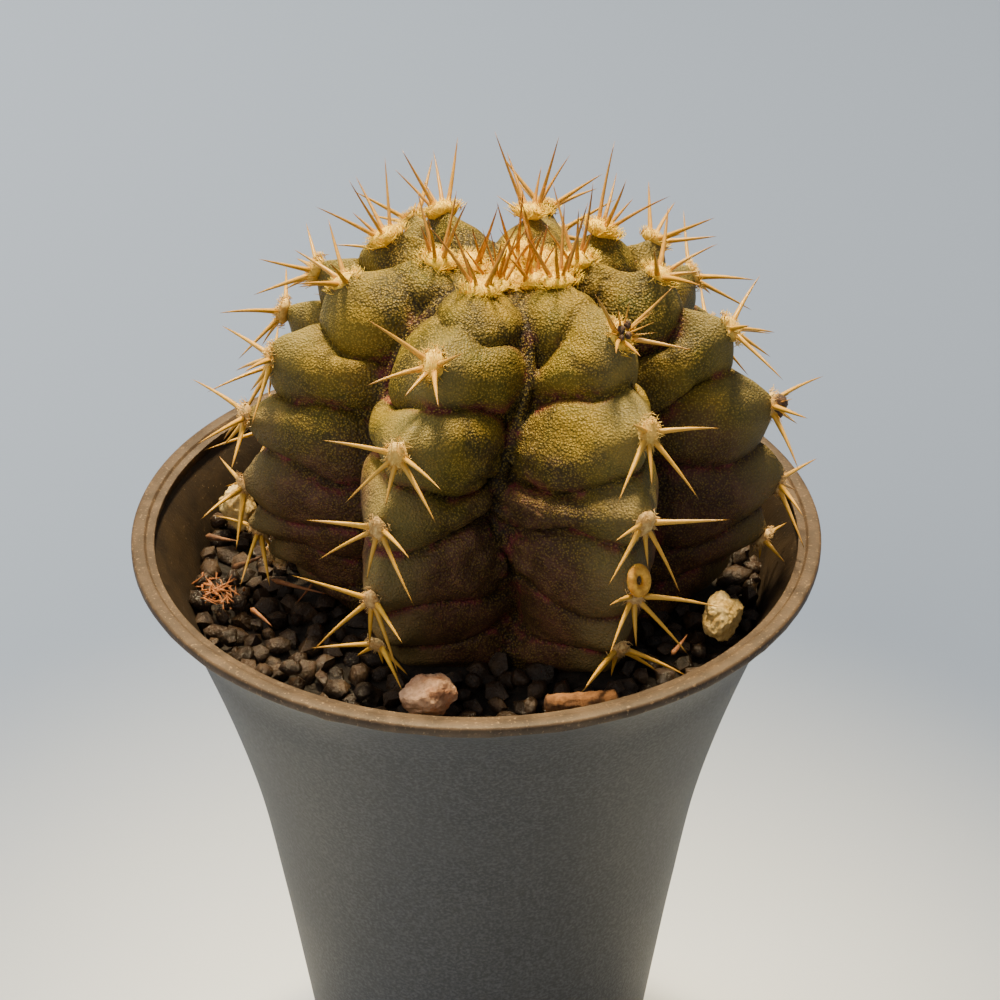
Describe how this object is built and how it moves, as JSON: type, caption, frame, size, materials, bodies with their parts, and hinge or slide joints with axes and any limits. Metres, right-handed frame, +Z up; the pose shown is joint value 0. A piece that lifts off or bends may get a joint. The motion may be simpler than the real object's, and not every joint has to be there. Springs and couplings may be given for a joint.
{
  "type": "potted chin cactus",
  "caption": "Low ribbed globe cactus with woolly pads and straw-coloured spines, standing in granular soil in a flared plastic pot with small loose stones.",
  "frame": {"origin": "under the middle of the pot, on the surface it stands on", "axes": "+Z up along the pot's axis; the picture looks from -Y, so +X is its right-hand side"},
  "size_m": [0.095, 0.095, 0.1504],
  "materials": {
    "pot": "matt, finely grained moulded plastic, browned on the lip",
    "soil": "rounded dark baked granules",
    "cactus": "olive green skin with purple shades, cream wool and straw-coloured spines",
    "pebble_cream": "rough, dusty",
    "pebble_pink": "rough, porous",
    "pebble_yellow": "rough, dusty",
    "bark": "rough, fibrous"
  },
  "bodies": {
    "root": {"pot": "pot", "soil": "soil", "cactus": "cactus", "pebble_cream": "pebble_cream", "pebble_pink": "pebble_pink", "pebble_yellow": "pebble_yellow", "bark_piece": "bark"}
  },
  "joints": []
}
